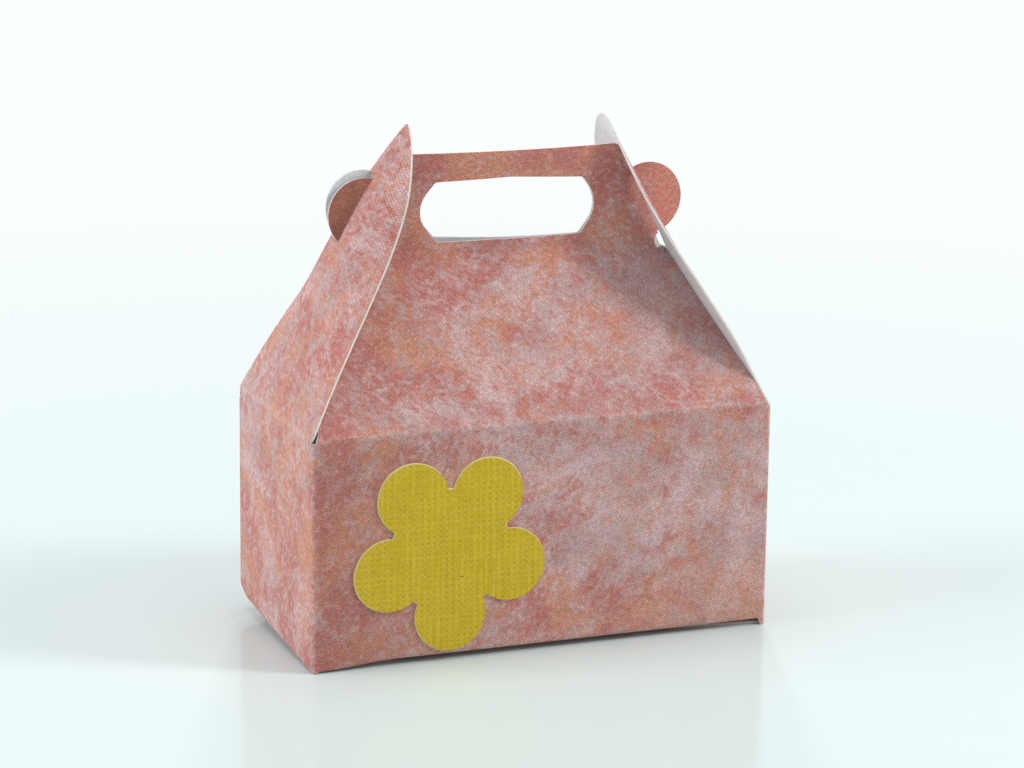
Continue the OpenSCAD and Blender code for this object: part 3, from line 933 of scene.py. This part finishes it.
phi = np.linspace(0, 2 * np.pi, 721)[:-1]
flower_cut = flower_rim(phi)[:, None] * np.column_stack([np.cos(phi), np.sin(phi)])
fill_lines = np.arange(-fill_reach, fill_reach + 0.1, fill_step)
petals, leaves = fill_cut([flower_cut], fill_lines, fill_lines)
far_out = np.linalg.norm(petals, axis=1)
on_rim = far_out / flower_rim(np.arctan2(petals[:, 1], petals[:, 0])) > 0.999
inset = 1 - np.where(on_rim, flower_inset, 0) / far_out.clip(1)
wall_y = np.full(len(petals), -half_d)
outer = np.column_stack([petals[:, 0] * inset + flower_x, wall_y - flower_t, petals[:, 1] * inset + flower_z])
inner = np.column_stack([petals[:, 0] + flower_x, wall_y, petals[:, 1] + flower_z])
flower = card_piece("flower_card", outer, inner, leaves, petals, (flower_card, flower_card, flower_edge))
belongs(flower, "box", "flower")

# %% [markdown]
# ## Floor and light
#
# The box stands on a pale, slightly glossy table that fades into white. A single white plane would show its
# horizon, so the floor takes the shadow near the box and turns into plain white further out, where only the
# camera and reflections see it. Soft lamps from the left, the right and above give the faces their different
# tones, with a weak one in front and a small one behind. The lamps themselves aren't seen, and a pale
# surround fills the shadows.

# %% Floor
floor_r, floor_rings, floor_spokes = 3000.0, 20, 96
fade_from, fade_to = 50.0, 280.0


def seen_rays(wire):
    """1 for rays that show things to the camera, straight or by gloss or through glass; 0 for the rest."""
    camera_ray = wire.node("ShaderNodeLightPath", out="Is Camera Ray")
    seen = wire.math("MAXIMUM", camera_ray, camera_ray.other("Is Glossy Ray"))
    return wire.math("MAXIMUM", seen, camera_ray.other("Is Transmission Ray"))


def floor_finish():
    """Pale gloss near the box; further out a white glow that lights nothing."""
    finish, wire = new_finish("floor_finish")
    place = wire.node("ShaderNodeTexCoord", out="Object")
    away = wire.node("ShaderNodeVectorMath", {"operation": "LENGTH"}, {0: place}, out="Value")
    far = away.ramp(fade_from * MM, fade_to * MM)
    table = wire.node("ShaderNodeBsdfPrincipled", {}, {
        "Base Color": (0.71, 0.82, 0.82, 1.0), "Roughness": 0.12, "Specular IOR Level": 0.2})
    glow = wire.node("ShaderNodeEmission", {}, {"Color": (0.96, 1.0, 1.0, 1.0), "Strength": 1.0})
    shader = wire.node("ShaderNodeMixShader", {}, {0: far * seen_rays(wire), 1: table, 2: glow})
    wire.node("ShaderNodeOutputMaterial", {}, {"Surface": shader})
    return finish


ring_r = np.linspace(0.0005, 1, floor_rings) ** 2 * floor_r
spokes = np.linspace(0, 2 * np.pi, floor_spokes + 1)[:-1]
out, turns = np.meshgrid(ring_r, spokes, indexing="ij")
disc = np.stack([out * np.cos(turns), out * np.sin(turns), 0 * out], axis=-1)
number = np.arange(out.size).reshape(out.shape)
beside = np.roll(number, -1, axis=1)
quads = np.stack([number[:-1], number[1:], beside[1:], beside[:-1]], axis=-1)
floor_mesh = bpy.data.meshes.new("floor")
floor_mesh.from_pydata((disc.reshape(-1, 3) * MM).tolist(), [], quads.reshape(-1, 4).tolist())
floor_mesh.materials.append(floor_finish())
floor = bpy.data.objects.new("floor", floor_mesh)
bpy.context.scene.collection.objects.link(floor)
print("floor:", len(floor_mesh.polygons), "faces")

# %% Lights
white = (1.0, 1.0, 1.0)
aim_at = Vector((0, 0, 25)) * MM


def lamp(name, place, size, power, colour=white):
    """A square soft lamp that looks at the middle of the box; its power is in watts at this small scale."""
    data = bpy.data.lights.new(name, "AREA")
    data.shape, data.size, data.energy, data.color = "SQUARE", size * MM, power, colour
    made = bpy.data.objects.new(name, data)
    made.visible_camera = made.visible_glossy = False
    bpy.context.scene.collection.objects.link(made)
    stand = Vector(place) * MM
    rotation = (aim_at - stand).to_track_quat("-Z", "Y").to_matrix().to_4x4()
    made.matrix_world = Matrix.Translation(stand) @ rotation


lamp("left_window", (-600, 80, 260), 350, 2.1)
lamp("right_lamp", (500, -305, 440), 160, 2.15, (1.0, 0.99, 0.97))
lamp("front_fill", (300, -650, 300), 450, 0.25)
lamp("back_window", (270, 720, 400), 80, 1.5)
lamp("top_light", (0, 0, 800), 600, 1.85)

# %% Surround
world = bpy.data.worlds.new("surround")
world.use_nodes = True
world.node_tree.nodes.clear()
wire = Wire(world.node_tree)
surround = wire.mix(seen_rays(wire), (0.40, 0.41, 0.41), white)
background = wire.node("ShaderNodeBackground", {}, {"Color": surround})
wire.node("ShaderNodeOutputWorld", {}, {"Surface": background})
bpy.context.scene.world = world
bpy.context.scene.view_settings.view_transform = "Standard"
print("surround:", len(world.node_tree.nodes), "nodes")

# %% [markdown]
